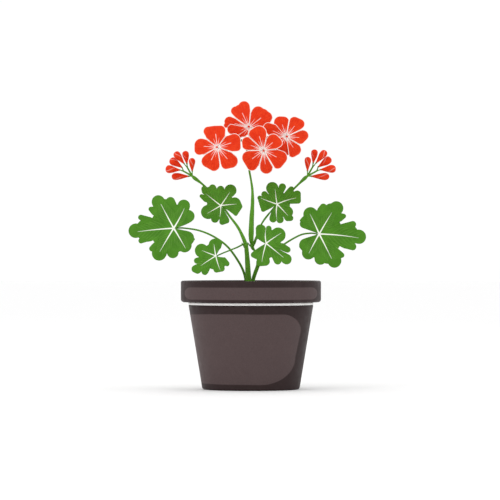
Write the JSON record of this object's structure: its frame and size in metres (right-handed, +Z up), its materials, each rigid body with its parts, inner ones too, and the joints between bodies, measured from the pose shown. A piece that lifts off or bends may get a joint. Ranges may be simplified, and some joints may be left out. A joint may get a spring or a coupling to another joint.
{
  "type": "potted geranium",
  "caption": "Red zonal geranium in a round dark brown pot: scalloped leaves on curved stalks, an open flower head on one upright stalk and a truss of buds on each side.",
  "frame": {"origin": "centre of the pot's flat underside", "axes": "+Z up along the pot's axis, the plant's front towards -Y, its big leaves spread along X"},
  "size_m": [0.2536, 0.15, 0.3083],
  "materials": {
    "pot": "satin dark brown",
    "trim": "satin off-white",
    "soil": "loose, matte peat and bark",
    "stem": "fresh green stem, slightly downy",
    "leaf": "fresh green leaf, softly satin",
    "petal": "soft scarlet petal"
  },
  "bodies": {
    "root": {"back_floret_left": "petal", "back_floret_right": "petal", "blade_big_left": "leaf", "blade_big_right": "leaf", "blade_lower_left": "leaf", "blade_lower_right": "leaf", "blade_upper_left": "leaf", "blade_upper_right": "leaf", "bud_left_1": "petal", "bud_left_2": "petal", "bud_left_3": "petal", "bud_left_4": "petal", "bud_left_5": "petal", "bud_left_6": "petal", "bud_right_1": "petal", "bud_right_2": "petal", "bud_right_3": "petal", "bud_right_4": "petal", "bud_right_5": "petal", "bud_right_6": "petal", "bud_stalk_left": "stem", "bud_stalk_right": "stem", "main_stem": "stem", "neck_ring": "trim", "pedicel_left": "stem", "pedicel_middle": "stem", "pedicel_right": "stem", "pedicel_top": "stem", "petal_left_1": "petal", "petal_left_2": "petal", "petal_left_3": "petal", "petal_left_4": "petal", "petal_left_5": "petal", "petal_middle_1": "petal", "petal_middle_2": "petal", "petal_middle_3": "petal", "petal_middle_4": "petal", "petal_middle_5": "petal", "petal_middle_6": "petal", "petal_right_1": "petal", "petal_right_2": "petal", "petal_right_3": "petal", "petal_right_4": "petal", "petal_right_5": "petal", "petal_right_6": "petal", "petal_top_1": "petal", "petal_top_2": "petal", "petal_top_3": "petal", "petal_top_4": "petal", "petal_top_5": "petal", "petiole_big_left": "stem", "petiole_big_right": "stem", "petiole_lower_left": "stem", "petiole_lower_right": "stem", "petiole_upper_right": "stem", "pot": "pot", "potting_soil": "soil", "right_stem": "stem"}
  },
  "joints": []
}
